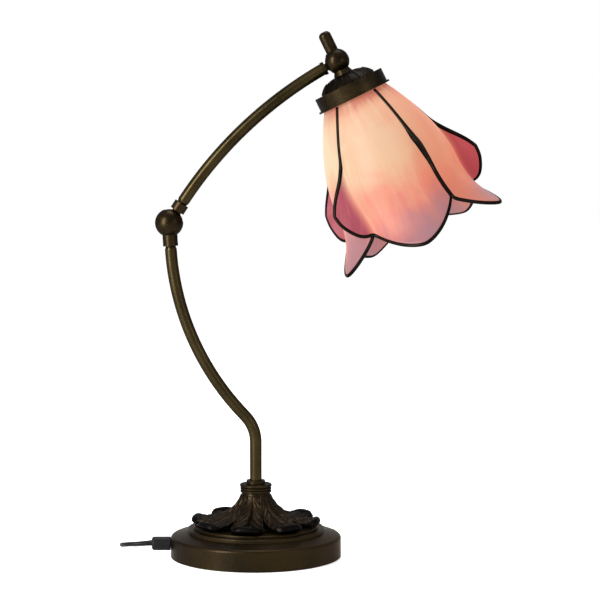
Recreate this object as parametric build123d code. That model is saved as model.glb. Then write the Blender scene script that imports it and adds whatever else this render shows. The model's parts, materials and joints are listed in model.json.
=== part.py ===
from build123d import *
import math
import os

import numpy as np

# Desk lamp with a jointed bent-tube arm and a five-petal leaded-glass flower shade.
# Millimetres, +Z up, the origin on the table under the middle of the base.
# The arm bends in the XZ plane, with the shade towards +X and the cord leaving towards -X.

# Base
base_radius = 76.0
base_wall = 2.0
base_rim_z = 0.8
wall_top_z = 16.5
wall_round = 2.6
shoulder_rise = 3.6
step1_radius = 61.0
step1_height = 3.4
step2_radius = 55.2
step2_height = 2.3
felt_thickness = 2.0
cover_thickness = 1.2
cover_clearance = 0.3
ballast_radius = 60.0
ballast_thickness = 11.5
cover_screw_count = 3
cover_screw_circle = 42.0
cover_screw_radius = 2.0
cover_screw_length = 6.0

# Leaf crown and neck
leaf_count = 9
leaf_first_angle = -8.5
leaf_tip_radius = 53.6
leaf_thickness = 2.6
leaf_tip_thickness = 4.4
leaf_half_width = 13.4
leaf_tip_half_width = 8.0
leaf_root_half_width = 4.3
leaf_vein_depth = 1.0
leaf_scoop = 2.2
crown_core_radius = 45.0
crown_top_radius = 13.4
crown_height = 29.5
neck_radius = 14.2
neck_height = 7.8
neck_groove = 0.9
foot_ring_radius = 8.3
foot_ring_height = 3.2

# Tubes of the arm
tube_radius = 5.3
tube_wall = 1.0
tube_foot_z = 17.0
stem_top_z = 103.0
foot_bend_radius = 34.0
foot_bend_angle = 44.0
bow_radius = 234.0
elbow_lean = 3.5
upper_start_angle = 33.5
upper_end_angle = 60.0
upper_bow_radius = 367.0
neck_taper = 3.0
spigot_radius = 4.3
spigot_length = 6.0
flex_radius = 1.6
flex_bend = 9.0
fit_clearance = 0.05
washer_radius = 11.0
washer_thickness = 1.5
nut_across = 17.0
nut_height = 5.0

# Elbow knuckle
elbow_radius = 12.5
elbow_sleeve_radius = 6.65
elbow_sleeve_end = 20.5
elbow_eye_radius = 8.4
elbow_eye_thickness = 6.0
elbow_neck_half_width = 4.2
elbow_pin_radius = 2.5
elbow_travel = (-30.0, 30.0)

# Head knuckle
head_radius = 11.0
head_tilt = 26.0
head_eye_radius = 7.0
head_eye_thickness = 5.0
head_neck_half_width = 3.4
head_pin_radius = 2.0
head_travel = (-30.0, 15.0)
end_collar_radius = 6.0
end_collar_length = 3.1
handle_radius = 5.5
handle_end = 28.0
handle_stud_radius = 2.5
handle_stud_length = 1.6
knuckle_gap = 0.4
friction_washer_thickness = 0.5
pin_head_radius_gain = 1.6
pin_head_height = 1.6

# Shade holder, measured down the head's axis from the middle of its ball
skirt_top_radius = 6.8
skirt_bottom_radius = 8.8
dome_top = 12.6
dome_radius = 25.4
dome_wall = 1.2
dome_rib_count = 20
dome_rib_height = 0.8
vent_count = 10
vent_radius = 1.7
vent_circle = 12.6
collar_top = 22.2
collar_height = 13.4
collar_radius = 32.2
collar_wall = 1.0
lip_radius = 34.0
lip_height = 1.7
nipple_radius = 5.0
nipple_bore = 3.5
spider_thickness = 2.0
spider_outer_radius = 26.0
spider_ring_width = 8.5
spider_hub_radius = 9.0
spider_spokes = 3
spider_spoke_width = 6.0
locknut_across = 14.0
locknut_height = 3.0

# Lampholder and bulb
holder_cap_radius = 13.0
holder_cap_height = 11.0
holder_radius = 13.6
holder_length = 29.0
holder_floor = 4.0
holder_bore = 7.4
holder_wall = 1.6
contact_radius = 3.2
bulb_seat_gap = 0.8
bulb_cap_radius = 6.95
bulb_cap_length = 22.0
bulb_neck_radius = 6.6
bulb_radius = 22.5
bulb_neck_length = 12.0
bulb_wall = 1.0

# Shade: five petals, each rolling out into a standing lobe on its left edge
petal_count = 5
petal_neck_radius = 30.2
petal_belly_radius = 59.0
petal_shoulder_length = 80.0
petal_flare = 22.2
petal_flare_start = 77.0
petal_flare_power = 2.9
petal_length = 139.6
petal_tip_drop = 23.0
petal_tip_power = 1.6
petal_skew = 9.5
junction = 116.6
lobe_height = 22.5
lobe_start = 44.0
lobe_full = 96.0
lobe_corner = 100.0
lobe_share = 0.22
crease_radius = 3.0
glass_thickness = 3.0
solder_gap = 0.15
rim_lead_width = 3.8
seam_lead_width = 2.6
lead_thickness = 4.0
seam_start = 18.0
seam_full = 36.0
seam_inset = 2.35
petal_levels = 19
section_points = 13
collar_seat_gap = 0.3

# Cord, its bush, the in-line switch, coil and plug
cord_radius = 2.1
cord_end_gap = 0.35
bush_radius = 6.25
bush_length = 17.0
bush_axis_z = 11.5
bush_thread_radius = 3.6
bush_locknut_across = 10.0
bush_locknut_height = 3.0
switch_length = 42.0
switch_width = 16.0
switch_height = 12.0
switch_round = 3.0
rocker_width = 7.0
rocker_radius = 6.5
rocker_axis_z = 8.2
rocker_face = 4.4
rocker_throw = 18.0
rocker_clearance = 0.35
coil_outer_radius = 36.0
coil_pitch = 4.65
coil_half_turns = 16
coil_layer = 4.65
tie_width = 6.0
tie_thickness = 1.0
tie_clearance = 0.35
plug_length = 27.0
plug_width = 20.0
plug_height = 13.5
plug_round = 3.0
plug_heading = -20.0
blade_length = 16.0
blade_width = 6.3
blade_thickness = 1.5
blade_spacing = 12.7

# The lead's route from the bush to the switch, chosen by hand, in plan and height
lead_points = [
    (-93.0, 0.0, 11.5),
    (-104.0, 0.0, 11.2),
    (-115.0, 5.8, 9.6),
    (-121.8, 16.6, 7.0),
    (-121.6, 29.8, 4.4),
    (-114.5, 41.3, 2.8),
    (-102.0, 49.0, 2.3),
    (-84.0, 57.15, 3.4),
    (-67.0, 66.0, 5.4),
]
switch_heading = 27.5
link_points = [
    (-29.75, 85.39, 5.4),
    (-20.5, 90.2, 4.6),
    (-12.0, 92.6, 3.45),
    (-4.2, 92.6, 3.45),
]
tail_runs = [(8.8, 0.0, 0.0), (15.0, -5.46, -1.35)]


def revolved(points):
    """Body of revolution about Z from a closed outline of (radius, height) points."""
    outline = make_face(Plane.XZ * Polyline(*points, close=True))
    return revolve(outline, Axis.Z)


def ring(outer, inner, low, high):
    """Plain ring about Z between two heights."""
    return revolved([(inner, low), (outer, low), (outer, high), (inner, high)])


def hex_nut(across, bore, low, high):
    """Hexagon nut about Z."""
    blank = extrude(Pos(0, 0, low) * RegularPolygon(across / 2, 6, major_radius=False), high - low)
    return blank - Pos(0, 0, (low + high) / 2) * Cylinder(bore, 2 * (high - low))


def tube_along(path, outer, inner=0.0):
    """Round rod, or a tube where it has a bore, swept along a path."""
    section = Circle(outer)
    if inner:
        section = section - Circle(inner)
    return sweep(Plane(origin=path @ 0, z_dir=path % 0) * section, path)


def rod(start, direction, radius, length):
    """Cylinder from a point along a direction."""
    upright = Cylinder(radius, length, align=(Align.CENTER, Align.CENTER, Align.MIN))
    return Plane(origin=start, z_dir=direction) * upright


def smooth_step(value):
    """Zero up to 0, one from 1, with an even rise between."""
    t = min(max(value, 0.0), 1.0)
    return t * t * (3 - 2 * t)


def slab(grid, half):
    """Solid sheet: two skins, each half a thickness from a grid of points, and four edges between them."""
    grid = np.array(grid)
    half = np.array(half)[:, :, None]
    normal = np.cross(np.gradient(grid, axis=0), np.gradient(grid, axis=1))
    normal = normal / np.linalg.norm(normal, axis=2)[:, :, None]
    skins = []
    for side in (1, -1):
        rows = (grid + side * half * normal).tolist()
        skins.append(Face.make_surface_from_array_of_points([[Vector(*p) for p in row] for row in rows]))
    walls = []
    for edge in skins[0].edges():
        facing = min(skins[1].edges(), key=lambda other: (other @ 0.5 - edge @ 0.5).length)
        walls.append(Face.make_surface_from_curves(edge, facing))
    sheet = Solid(Shell(skins + walls))
    return sheet if sheet.volume > 0 else Solid(Shell([-face for face in skins + walls]))


# Heights that several pieces share
shoulder_z = wall_top_z + wall_round + shoulder_rise
step1_z = shoulder_z + step1_height
plate_z = step1_z + step2_height
crown_top_z = plate_z + crown_height
neck_top_z = crown_top_z + neck_height
cover_top_z = felt_thickness + cover_thickness
ballast_top_z = cover_top_z + ballast_thickness
tube_hole = tube_radius + fit_clearance


def arm_direction(angle):
    """Unit vector in the arm's plane, leaning from upright towards +X."""
    lean = math.radians(angle)
    return Vector(math.sin(lean), 0, math.cos(lean))


def lower_path():
    """Middle line of the lower tube, up to where it narrows for the elbow."""
    stem = Line((0, tube_foot_z), (0, stem_top_z))
    bend = JernArc(stem @ 1, stem % 1, foot_bend_radius, foot_bend_angle)
    bow = JernArc(bend @ 1, bend % 1, bow_radius, elbow_lean - foot_bend_angle)
    return Plane.XZ * Wire([stem, bend, bow])


def upper_path(start):
    """Middle line of the upper tube, from where it leaves the elbow's sleeve."""
    heading = arm_direction(upper_start_angle)
    turn = upper_start_angle - upper_end_angle
    bow = JernArc((start.X, start.Z), (heading.X, heading.Z), upper_bow_radius, turn)
    return Plane.XZ * Wire([bow])


lower_line = lower_path()
lower_up = arm_direction(-elbow_lean)
elbow = lower_line @ 1 + lower_up * (neck_taper + elbow_sleeve_end)
upper_up = arm_direction(upper_start_angle)
upper_line = upper_path(elbow + upper_up * (elbow_sleeve_end + neck_taper))
head_in = arm_direction(upper_end_angle)
head = upper_line @ 1 + head_in * (head_radius + knuckle_gap + end_collar_length)

elbow_frame = Pos(*elbow)
head_frame = Location(tuple(head), (0, -head_tilt, 0))


def base_shell():
    """Spun shell with a rounded wall, a sloping shoulder and two stepped rings."""
    def outline(inset):
        wall = base_radius - inset
        top = wall_top_z + wall_round - inset
        points = [
            (0, base_rim_z),
            (wall, base_rim_z),
            (wall, top),
            (step1_radius - inset, shoulder_z - inset),
            (step1_radius - inset, step1_z - inset),
            (step2_radius - inset, step1_z - inset),
            (step2_radius - inset, plate_z - inset),
            (0, plate_z - inset),
        ]
        return revolved(points)
    body = outline(0)
    rim_edge = body.edges().filter_by(GeomType.CIRCLE).group_by(SortBy.RADIUS)[-1].sort_by(Axis.Z)[-1]
    body = fillet(rim_edge, wall_round)
    step_edges = []
    for radius, height in ((step1_radius, step1_z), (step2_radius, plate_z)):
        step_edges += [e for e in body.edges().filter_by(GeomType.CIRCLE)
                       if abs(e.radius - radius) < 0.01 and abs(e.center().Z - height) < 0.01]
    body = fillet(step_edges, step2_height * 0.4)
    body -= outline(base_wall)
    body -= Pos(0, 0, plate_z) * Cylinder(tube_hole, 3 * base_wall)
    outside = (-base_radius - base_wall, 0, bush_axis_z)
    return body - rod(outside, (1, 0, 0), bush_thread_radius + fit_clearance, 3 * base_wall)


def bottom_pieces(nodes):
    """Felt, cover, its screws and the ballast, stacked inside the shell from the table up."""
    inner = base_radius - base_wall - cover_clearance
    nodes["felt_pad"] = ring(inner, 0.0, 0, felt_thickness)
    screw_spots = PolarLocations(cover_screw_circle, cover_screw_count, start_angle=60)
    hole = Cylinder(cover_screw_radius + fit_clearance, 4 * cover_thickness)
    cover = Pos(0, 0, felt_thickness + cover_thickness / 2) * Cylinder(inner, cover_thickness)
    nodes["bottom_cover"] = cover - [Pos(0, 0, felt_thickness) * spot * hole for spot in screw_spots]
    ballast = ring(ballast_radius, tube_radius + 3, cover_top_z, ballast_top_z)
    channel_z = bush_axis_z - flex_radius - 1
    channel = Pos(-ballast_radius / 2, 0, channel_z) * Box(
        ballast_radius, 3 * flex_radius, 2 * ballast_thickness, align=(Align.CENTER, Align.CENTER, Align.MIN))
    pilot = Cylinder(cover_screw_radius + fit_clearance, 2 * (cover_screw_length + 1))
    nodes["ballast_disc"] = ballast - channel - [Pos(0, 0, cover_top_z) * spot * pilot for spot in screw_spots]
    screw = Cylinder(cover_screw_radius, cover_screw_length + cover_thickness,
                     align=(Align.CENTER, Align.CENTER, Align.MIN))
    nodes["cover_screws"] = Compound([Pos(0, 0, felt_thickness) * spot * screw for spot in screw_spots])


def crown_leaf():
    """One scooped leaf of the crown, running down from the neck to a thick turned-up tip."""
    line = Spline((crown_top_radius - 1, crown_top_z - 2), (19.0, crown_top_z - 12.5), (30.0, crown_top_z - 19.5),
                  (44.0, crown_top_z - 24.0), (leaf_tip_radius, crown_top_z - 22.6))
    rows = []
    halves = []
    for u in np.linspace(0, 1, 15):
        spot = line @ u
        width = leaf_root_half_width + (leaf_half_width - leaf_root_half_width) * smooth_step(u / 0.8)
        width -= (leaf_half_width - leaf_tip_half_width) * max(0.0, (u - 0.8) / 0.2) ** 2
        half = (leaf_thickness + (leaf_tip_thickness - leaf_thickness) * smooth_step((u - 0.55) / 0.4)) / 2
        row = []
        for v in np.linspace(-1, 1, 13):
            turn = v * width / spot.X
            scoop = leaf_scoop * smooth_step((u - 0.3) / 0.5)
            lift = scoop * v ** 4 - leaf_vein_depth * smooth_step(u / 0.3) * math.exp(-(v / 0.16) ** 2)
            row.append((spot.X * math.sin(turn), -spot.X * math.cos(turn), spot.Y + lift))
        rows.append(row)
        halves.append([half] * len(row))
    return slab(rows, halves)


def leaf_crown():
    """Cast crown: a bell-shaped core carrying a ring of leaves."""
    core = make_face(Plane.XZ * Wire([
        Line((tube_hole, plate_z), (crown_core_radius, plate_z)),
        Line((crown_core_radius, plate_z), (crown_core_radius, plate_z + 2)),
        Spline((crown_core_radius, plate_z + 2), (28.0, crown_top_z - 19.6), (18.0, crown_top_z - 13.0),
               (crown_top_radius, crown_top_z)),
        Line((crown_top_radius, crown_top_z), (tube_hole, crown_top_z)),
        Line((tube_hole, crown_top_z), (tube_hole, plate_z)),
    ]))
    leaf = crown_leaf()
    pitch = 360 / leaf_count
    leaves = [Rot(0, 0, leaf_first_angle + pitch * index) * leaf for index in range(leaf_count)]
    crown = revolve(core, Axis.Z) + leaves
    return crown - Pos(0, 0, plate_z) * Cylinder(tube_hole, 3 * crown_height)


def neck_collar():
    """Turned collar on the crown, with a flange and two bead grooves."""
    low = crown_top_z
    step = neck_height / 6
    groove = neck_radius - neck_groove
    return revolved([
        (tube_hole, low),
        (groove, low),
        (neck_radius - 0.3, low + 0.5 * step),
        (neck_radius - 0.3, low + 1.5 * step),
        (groove, low + 2 * step),
        (neck_radius - 0.3, low + 2.5 * step),
        (neck_radius - 0.3, low + 3.3 * step),
        (groove, low + 3.8 * step),
        (neck_radius, low + 4.4 * step),
        (neck_radius, low + 5.6 * step),
        (neck_radius - 0.6, neck_top_z),
        (tube_hole, neck_top_z),
    ])


def tube_end(start, direction):
    """Narrowed end of a tube: a short taper and the spigot that goes into a sleeve."""
    bore = tube_radius - tube_wall
    outline = [
        (bore - 1.0, 0),
        (tube_radius, 0),
        (spigot_radius, neck_taper),
        (spigot_radius, neck_taper + spigot_length),
        (bore - 1.0, neck_taper + spigot_length),
    ]
    return Plane(origin=start, z_dir=direction) * revolved(outline)


def base_column(nodes):
    """Collar, foot ring, lower tube and the nut that clamps them through the base."""
    nodes["neck_collar"] = neck_collar()
    nodes["tube_foot_ring"] = ring(foot_ring_radius, tube_hole, neck_top_z, neck_top_z + foot_ring_height)
    bore = tube_radius - tube_wall
    tube = tube_along(lower_line, tube_radius, bore)
    nodes["lower_tube"] = tube + tube_end(lower_line @ 1, lower_up)
    under_plate = plate_z - base_wall
    nodes["base_washer"] = ring(washer_radius, tube_hole, under_plate - washer_thickness, under_plate)
    nut_top = under_plate - washer_thickness
    nodes["base_nut"] = hex_nut(nut_across, tube_hole, nut_top - nut_height, nut_top)


def knuckle_slot(travel, rest_angle, neck_half, thickness, eye_radius):
    """Space that a tongue needs inside its ball over the whole travel, in the arm's plane."""
    reach = 3 * eye_radius
    clear = neck_half + knuckle_gap
    first = arm_direction(rest_angle + travel[0])
    last = arm_direction(rest_angle + travel[1])
    middle = arm_direction(rest_angle + (travel[0] + travel[1]) / 2)
    corners = [
        (-first.Z * clear, first.X * clear),
        (-first.Z * clear + first.X * reach, first.X * clear + first.Z * reach),
        (middle.X * 1.5 * reach, middle.Z * 1.5 * reach),
        (last.Z * clear + last.X * reach, -last.X * clear + last.Z * reach),
        (last.Z * clear, -last.X * clear),
    ]
    fan = extrude(make_face(Plane.XZ * Polyline(*corners, close=True)), thickness / 2, both=True)
    eye = Rot(90, 0, 0) * Cylinder(eye_radius + knuckle_gap, thickness)
    return fan + eye


def pivot_screw(radius, ball_radius):
    """Pivot screw along Y, its head sunk in the back of the ball."""
    front = -ball_radius + 2.5
    back = math.sqrt(ball_radius ** 2 - (radius + pin_head_radius_gain) ** 2) - 0.4
    shank = rod((0, front, 0), (0, 1, 0), radius, back - pin_head_height - front)
    cap = rod((0, back - pin_head_height, 0), (0, 1, 0), radius + pin_head_radius_gain, pin_head_height)
    slot = Pos(0, back, 0) * Box(4 * radius, 1.2, 0.8)
    return shank + cap - slot


def screw_bore(radius, ball_radius):
    """Hole for the pivot screw, open at the back of the ball."""
    front = -ball_radius + 2.5
    back = math.sqrt(ball_radius ** 2 - (radius + pin_head_radius_gain) ** 2) - 0.4
    shank = rod((0, front, 0), (0, 1, 0), radius + fit_clearance, 2 * ball_radius)
    seat_radius = radius + pin_head_radius_gain + fit_clearance
    seat = rod((0, back - pin_head_height, 0), (0, 1, 0), seat_radius, ball_radius)
    return shank + seat


def friction_washers(eye_radius, eye_thickness, pin_radius):
    """Pair of thin washers, one on each side of a tongue's eye."""
    offset = eye_thickness / 2 + friction_washer_thickness / 2 + fit_clearance
    washer = Rot(90, 0, 0) * (Cylinder(eye_radius - 1, friction_washer_thickness)
                              - Cylinder(pin_radius + fit_clearance, 2 * friction_washer_thickness))
    return Compound([Pos(0, side * offset, 0) * washer for side in (-1, 1)])


def slot_width(eye_thickness):
    """Width of a ball's slot: the eye, a washer each side and running room."""
    return eye_thickness + 2 * friction_washer_thickness + 4 * fit_clearance


def elbow_pieces(nodes):
    """Elbow: the ball that forks round a tongue, the tongue with its sleeve, the screw and washers."""
    to_lower = Rot(0, -elbow_lean, 0)
    sleeve_length = elbow_sleeve_end
    sleeve = Pos(0, 0, -sleeve_length) * Cylinder(elbow_sleeve_radius, sleeve_length,
                                                  align=(Align.CENTER, Align.CENTER, Align.MIN))
    socket = Pos(0, 0, -sleeve_length) * Cylinder(spigot_radius + fit_clearance, spigot_length + fit_clearance,
                                                  align=(Align.CENTER, Align.CENTER, Align.MIN))
    flex_way = Pos(0, 0, -sleeve_length) * Cylinder(flex_radius + 0.6, sleeve_length,
                                                    align=(Align.CENTER, Align.CENTER, Align.MIN))
    fork = Sphere(elbow_radius) + to_lower * sleeve
    fork -= to_lower * socket
    fork -= to_lower * flex_way
    fork -= knuckle_slot(elbow_travel, upper_start_angle, elbow_neck_half_width,
                         slot_width(elbow_eye_thickness), elbow_eye_radius)
    fork -= screw_bore(elbow_pin_radius, elbow_radius)
    nodes["elbow_ball"] = elbow_frame * fork
    nodes["elbow_screw"] = elbow_frame * pivot_screw(elbow_pin_radius, elbow_radius)
    washers = friction_washers(elbow_eye_radius, elbow_eye_thickness, elbow_pin_radius)
    nodes["elbow_washers"] = elbow_frame * washers
    sleeve_start = elbow_radius + knuckle_gap
    eye = Rot(90, 0, 0) * Cylinder(elbow_eye_radius, elbow_eye_thickness)
    neck = Box(2 * elbow_neck_half_width, elbow_eye_thickness, sleeve_start + 1,
               align=(Align.CENTER, Align.CENTER, Align.MIN))
    upper_sleeve = Pos(0, 0, sleeve_start) * Cylinder(elbow_sleeve_radius, elbow_sleeve_end - sleeve_start,
                                                      align=(Align.CENTER, Align.CENTER, Align.MIN))
    upper_socket = Pos(0, 0, elbow_sleeve_end - spigot_length - fit_clearance) * Cylinder(
        spigot_radius + fit_clearance, spigot_length + 1, align=(Align.CENTER, Align.CENTER, Align.MIN))
    pin_hole = Rot(90, 0, 0) * Cylinder(elbow_pin_radius + fit_clearance, 2 * elbow_eye_thickness)
    tongue = eye + neck + upper_sleeve - upper_socket - pin_hole
    nodes["elbow_tongue"] = elbow_frame * Rot(0, upper_start_angle, 0) * tongue


def upper_arm(nodes):
    """Upper tube and the tongue that carries the head."""
    bore = tube_radius - tube_wall
    tube = tube_along(upper_line, tube_radius, bore)
    nodes["upper_tube"] = tube + tube_end(upper_line @ 0, upper_up * -1)
    collar_start = head_radius + knuckle_gap
    eye = Rot(90, 0, 0) * Cylinder(head_eye_radius, head_eye_thickness)
    neck = Box(2 * head_neck_half_width, head_eye_thickness, collar_start + 1,
               align=(Align.CENTER, Align.CENTER, Align.MIN))
    collar = Pos(0, 0, collar_start) * Cylinder(end_collar_radius, end_collar_length,
                                                align=(Align.CENTER, Align.CENTER, Align.MIN))
    plug = Pos(0, 0, collar_start + end_collar_length) * Cylinder(
        bore - fit_clearance, spigot_length, align=(Align.CENTER, Align.CENTER, Align.MIN))
    pin_hole = Rot(90, 0, 0) * Cylinder(head_pin_radius + fit_clearance, 2 * head_eye_thickness)
    tongue = eye + neck + collar + plug - pin_hole
    nodes["head_tongue"] = Pos(*head) * Rot(0, upper_end_angle + 180, 0) * tongue


def head_knuckle(nodes):
    """Ball at the head with its screw and washers, the tilt handle and the threaded nipple."""
    thickness = slot_width(head_eye_thickness)
    tube_angle = upper_end_angle + 180 + head_tilt
    skirt = revolved([(0, -head_radius * 0.6), (skirt_top_radius, -head_radius * 0.75),
                      (skirt_bottom_radius, -dome_top), (0, -dome_top)])
    travel = (-head_travel[1], -head_travel[0])
    ball = Sphere(head_radius) + skirt
    ball -= knuckle_slot(travel, tube_angle, head_neck_half_width, thickness, head_eye_radius)
    ball -= screw_bore(head_pin_radius, head_radius)
    nipple_top = head_eye_radius + 2 * knuckle_gap + 0.4
    ball -= Pos(0, 0, -dome_top) * Cylinder(nipple_radius + fit_clearance, dome_top - nipple_top,
                                            align=(Align.CENTER, Align.CENTER, Align.MIN))
    stud_base = head_radius - handle_stud_length - 0.2
    ball -= Pos(0, 0, stud_base) * Cylinder(handle_stud_radius + fit_clearance, head_radius,
                                            align=(Align.CENTER, Align.CENTER, Align.MIN))
    nodes["head_ball"] = head_frame * ball
    nodes["head_screw"] = head_frame * pivot_screw(head_pin_radius, head_radius)
    washers = friction_washers(head_eye_radius, head_eye_thickness, head_pin_radius)
    nodes["head_washers"] = head_frame * washers
    grip = Pos(0, 0, head_radius * 0.7) * Cylinder(handle_radius, handle_end - head_radius * 0.7,
                                                   align=(Align.CENTER, Align.CENTER, Align.MIN))
    grip = fillet(grip.edges().sort_by(Axis.Z)[-1], handle_radius * 0.75)
    grip -= Sphere(head_radius + fit_clearance)
    grip += Pos(0, 0, stud_base + fit_clearance) * Cylinder(handle_stud_radius, handle_stud_length + 2,
                                                            align=(Align.CENTER, Align.CENTER, Align.MIN))
    nodes["tilt_handle"] = head_frame * grip
    nipple_end = collar_top + collar_wall + spider_thickness + locknut_height + holder_cap_height * 0.6
    nodes["head_nipple"] = head_frame * ring(nipple_radius, nipple_bore, -nipple_end, -nipple_top)


def vent_dome():
    """Ribbed dome with a ring of vent holes round its neck."""
    top_radius = skirt_bottom_radius + 0.4
    bulge = (dome_radius * 0.79, -dome_top - 0.4 * (collar_top - dome_top))
    outer = ThreePointArc((top_radius, -dome_top), bulge, (dome_radius, -collar_top))
    hollow = (bulge[0] - 0.6 * dome_wall, bulge[1] - 0.8 * dome_wall)
    inner = ThreePointArc((dome_radius - dome_wall, -collar_top), hollow, (top_radius, -dome_top - dome_wall))
    wall = Wire([outer, Line(outer @ 1, inner @ 0), inner, Line(inner @ 1, outer @ 0)])
    cap = revolve(make_face(Plane.XZ * wall), Axis.Z)
    crown = ring(top_radius, nipple_radius + fit_clearance, -dome_top - dome_wall, -dome_top)
    rib_edge = Plane.XZ * Wire([outer]).trim(0.42, 0.96)
    rib = sweep(Plane(origin=rib_edge @ 0, z_dir=rib_edge % 0) * Circle(dome_rib_height), rib_edge)
    ribs = [Rot(0, 0, 360 / dome_rib_count * (index + 0.5)) * rib for index in range(dome_rib_count)]
    vent = Cylinder(vent_radius, 4 * dome_wall)
    vents = [Pos(0, 0, -dome_top - dome_wall) * spot * vent for spot in PolarLocations(vent_circle, vent_count)]
    return cap + crown + ribs - vents


def shade_holder(nodes):
    """Dome, collar band, spider and locknut, stacked down the nipple."""
    nodes["vent_dome"] = head_frame * vent_dome()
    inner = collar_radius - collar_wall
    bottom = -collar_top - collar_height
    band = revolved([
        (nipple_radius + fit_clearance, -collar_top),
        (collar_radius, -collar_top),
        (collar_radius, bottom + lip_height),
        (lip_radius, bottom + lip_height),
        (lip_radius, bottom),
        (inner, bottom),
        (inner, -collar_top - collar_wall),
        (nipple_radius + fit_clearance, -collar_top - collar_wall),
    ])
    nodes["collar_band"] = head_frame * band
    spider_top = -collar_top - collar_wall
    low = spider_top - spider_thickness
    spider = ring(spider_outer_radius, spider_outer_radius - spider_ring_width, low, spider_top)
    spider += ring(spider_hub_radius, nipple_radius + fit_clearance, low, spider_top)
    reach = spider_outer_radius - spider_ring_width / 2
    spoke = Pos((reach + spider_hub_radius - 1) / 2, 0, (low + spider_top) / 2) * Box(
        reach - spider_hub_radius + 1, spider_spoke_width, spider_thickness)
    spider += [Rot(0, 0, 360 / spider_spokes * index) * spoke for index in range(spider_spokes)]
    nodes["shade_spider"] = head_frame * spider
    nodes["spider_locknut"] = head_frame * hex_nut(locknut_across, nipple_radius + fit_clearance,
                                                   low - locknut_height, low)
    return low


def lampholder(nodes, spider_low):
    """Lampholder below the spider, and the bulb screwed into it."""
    cap_top = spider_low - locknut_height
    cap_low = cap_top - holder_cap_height
    cap = revolved([
        (nipple_radius + fit_clearance, cap_top),
        (holder_cap_radius - 3, cap_top),
        (holder_cap_radius, cap_top - 3),
        (holder_cap_radius, cap_low),
        (holder_cap_radius - holder_wall, cap_low),
        (holder_cap_radius - holder_wall, cap_top - 4),
        (nipple_radius + fit_clearance, cap_top - 4),
    ])
    nodes["lampholder_cap"] = head_frame * cap
    body_low = cap_low - holder_length
    body = revolved([
        (0, cap_low),
        (holder_radius, cap_low),
        (holder_radius, body_low + 4),
        (holder_radius - 1.4, body_low),
        (holder_bore, body_low),
        (holder_bore, cap_low - holder_floor),
        (0, cap_low - holder_floor),
    ])
    nodes["lampholder_body"] = head_frame * body
    skirt = body_low - bulb_seat_gap
    tip = skirt + bulb_cap_length
    contact_top = cap_low - holder_floor
    nodes["lampholder_contact"] = head_frame * ring(contact_radius, 0, tip + collar_seat_gap, contact_top)
    cap_profile = [(0, tip), (2.4, tip), (2.4, tip - 1.5), (5.2, tip - 4.5), (bulb_cap_radius, tip - 5.5),
                   (bulb_cap_radius, skirt), (0, skirt)]
    nodes["bulb_cap"] = head_frame * revolved(cap_profile)
    neck_low = skirt - bulb_neck_length
    rise = math.sqrt(bulb_radius ** 2 - (bulb_neck_radius + 3) ** 2)
    middle = neck_low - rise
    glass = Wire([
        Line((0, skirt), (bulb_neck_radius, skirt)),
        Line((bulb_neck_radius, skirt), (bulb_neck_radius + 3, neck_low)),
        ThreePointArc((bulb_neck_radius + 3, neck_low), (bulb_radius, middle), (0, middle - bulb_radius)),
        Line((0, middle - bulb_radius), (0, skirt)),
    ])
    bulb = revolve(make_face(Plane.XZ * glass), Axis.Z)
    hollow = Pos(0, 0, middle) * Sphere(bulb_radius - bulb_wall)
    nodes["bulb_glass"] = head_frame * (bulb - hollow)


def petal_radius(s):
    """Outer radius of the shade's belly at a distance down from the collar."""
    shoulder = 1 - (1 - min(s / petal_shoulder_length, 1.0)) ** 2
    flare = max(0.0, (s - petal_flare_start) / (petal_length - petal_flare_start)) ** petal_flare_power
    return petal_neck_radius + (petal_belly_radius - petal_neck_radius) * shoulder + petal_flare * flare


def petal_seam(s):
    """Angle of a petal's right seam, which leans back between the collar and the junction."""
    share = min(max(s / junction, 0.0), 1.0)
    return 180 / petal_count - petal_skew * math.sin(math.pi * share)


def lobe_rise(s):
    """Height of the standing lobe."""
    return lobe_height * smooth_step((s - lobe_start) / (lobe_full - lobe_start))


def section_sizes(s):
    """Belly radius, belly arc, crease radius and whole length of a petal's section."""
    middle = petal_radius(s) - glass_thickness / 2
    belly = middle * math.radians(360 / petal_count)
    crease = min(crease_radius, 0.6 * lobe_rise(s))
    whole = belly + (math.pi / 2 - 2) * crease + lobe_rise(s)
    return middle, belly, crease, whole


def petal_point(s, run):
    """Point on a petal's middle surface, a run from its right seam along the section at s."""
    middle, belly, crease, whole = section_sizes(s)
    flat = belly - crease
    seam = math.radians(petal_seam(s))
    if run <= flat:
        angle = seam - run / middle
        radius = middle
    elif run <= flat + math.pi / 2 * crease:
        bend = (run - flat) / crease
        angle = seam - (flat + crease * math.sin(bend)) / middle
        radius = middle + crease * (1 - math.cos(bend))
    else:
        angle = seam - belly / middle
        radius = middle + crease + run - flat - math.pi / 2 * crease
    down = -collar_top - collar_height - s
    return (radius * math.sin(angle), -radius * math.cos(angle), down)


def petal_end(share):
    """How far down a petal reaches, at a share of its section from the right seam to the lobe's edge."""
    belly_share = 1 - lobe_share
    if share <= belly_share:
        across = abs(1 - 2 * share / belly_share)
        return petal_length - petal_tip_drop * across ** petal_tip_power
    rise = (share - belly_share) / lobe_share
    root = petal_length - petal_tip_drop
    return root - (root - lobe_corner) * rise ** 3


def seam_edges(s):
    """Runs from the seam at which its lead starts and ends."""
    grown = smooth_step((s - seam_start) / (seam_full - seam_start))
    start = collar_seat_gap + (seam_inset - collar_seat_gap) * grown
    return start, start + 0.3 + (seam_lead_width - 0.3) * grown


petal_top = -collar_height + collar_wall + spider_thickness + collar_seat_gap
shade_levels = np.linspace(petal_top, petal_length + 1, petal_levels)


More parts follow.
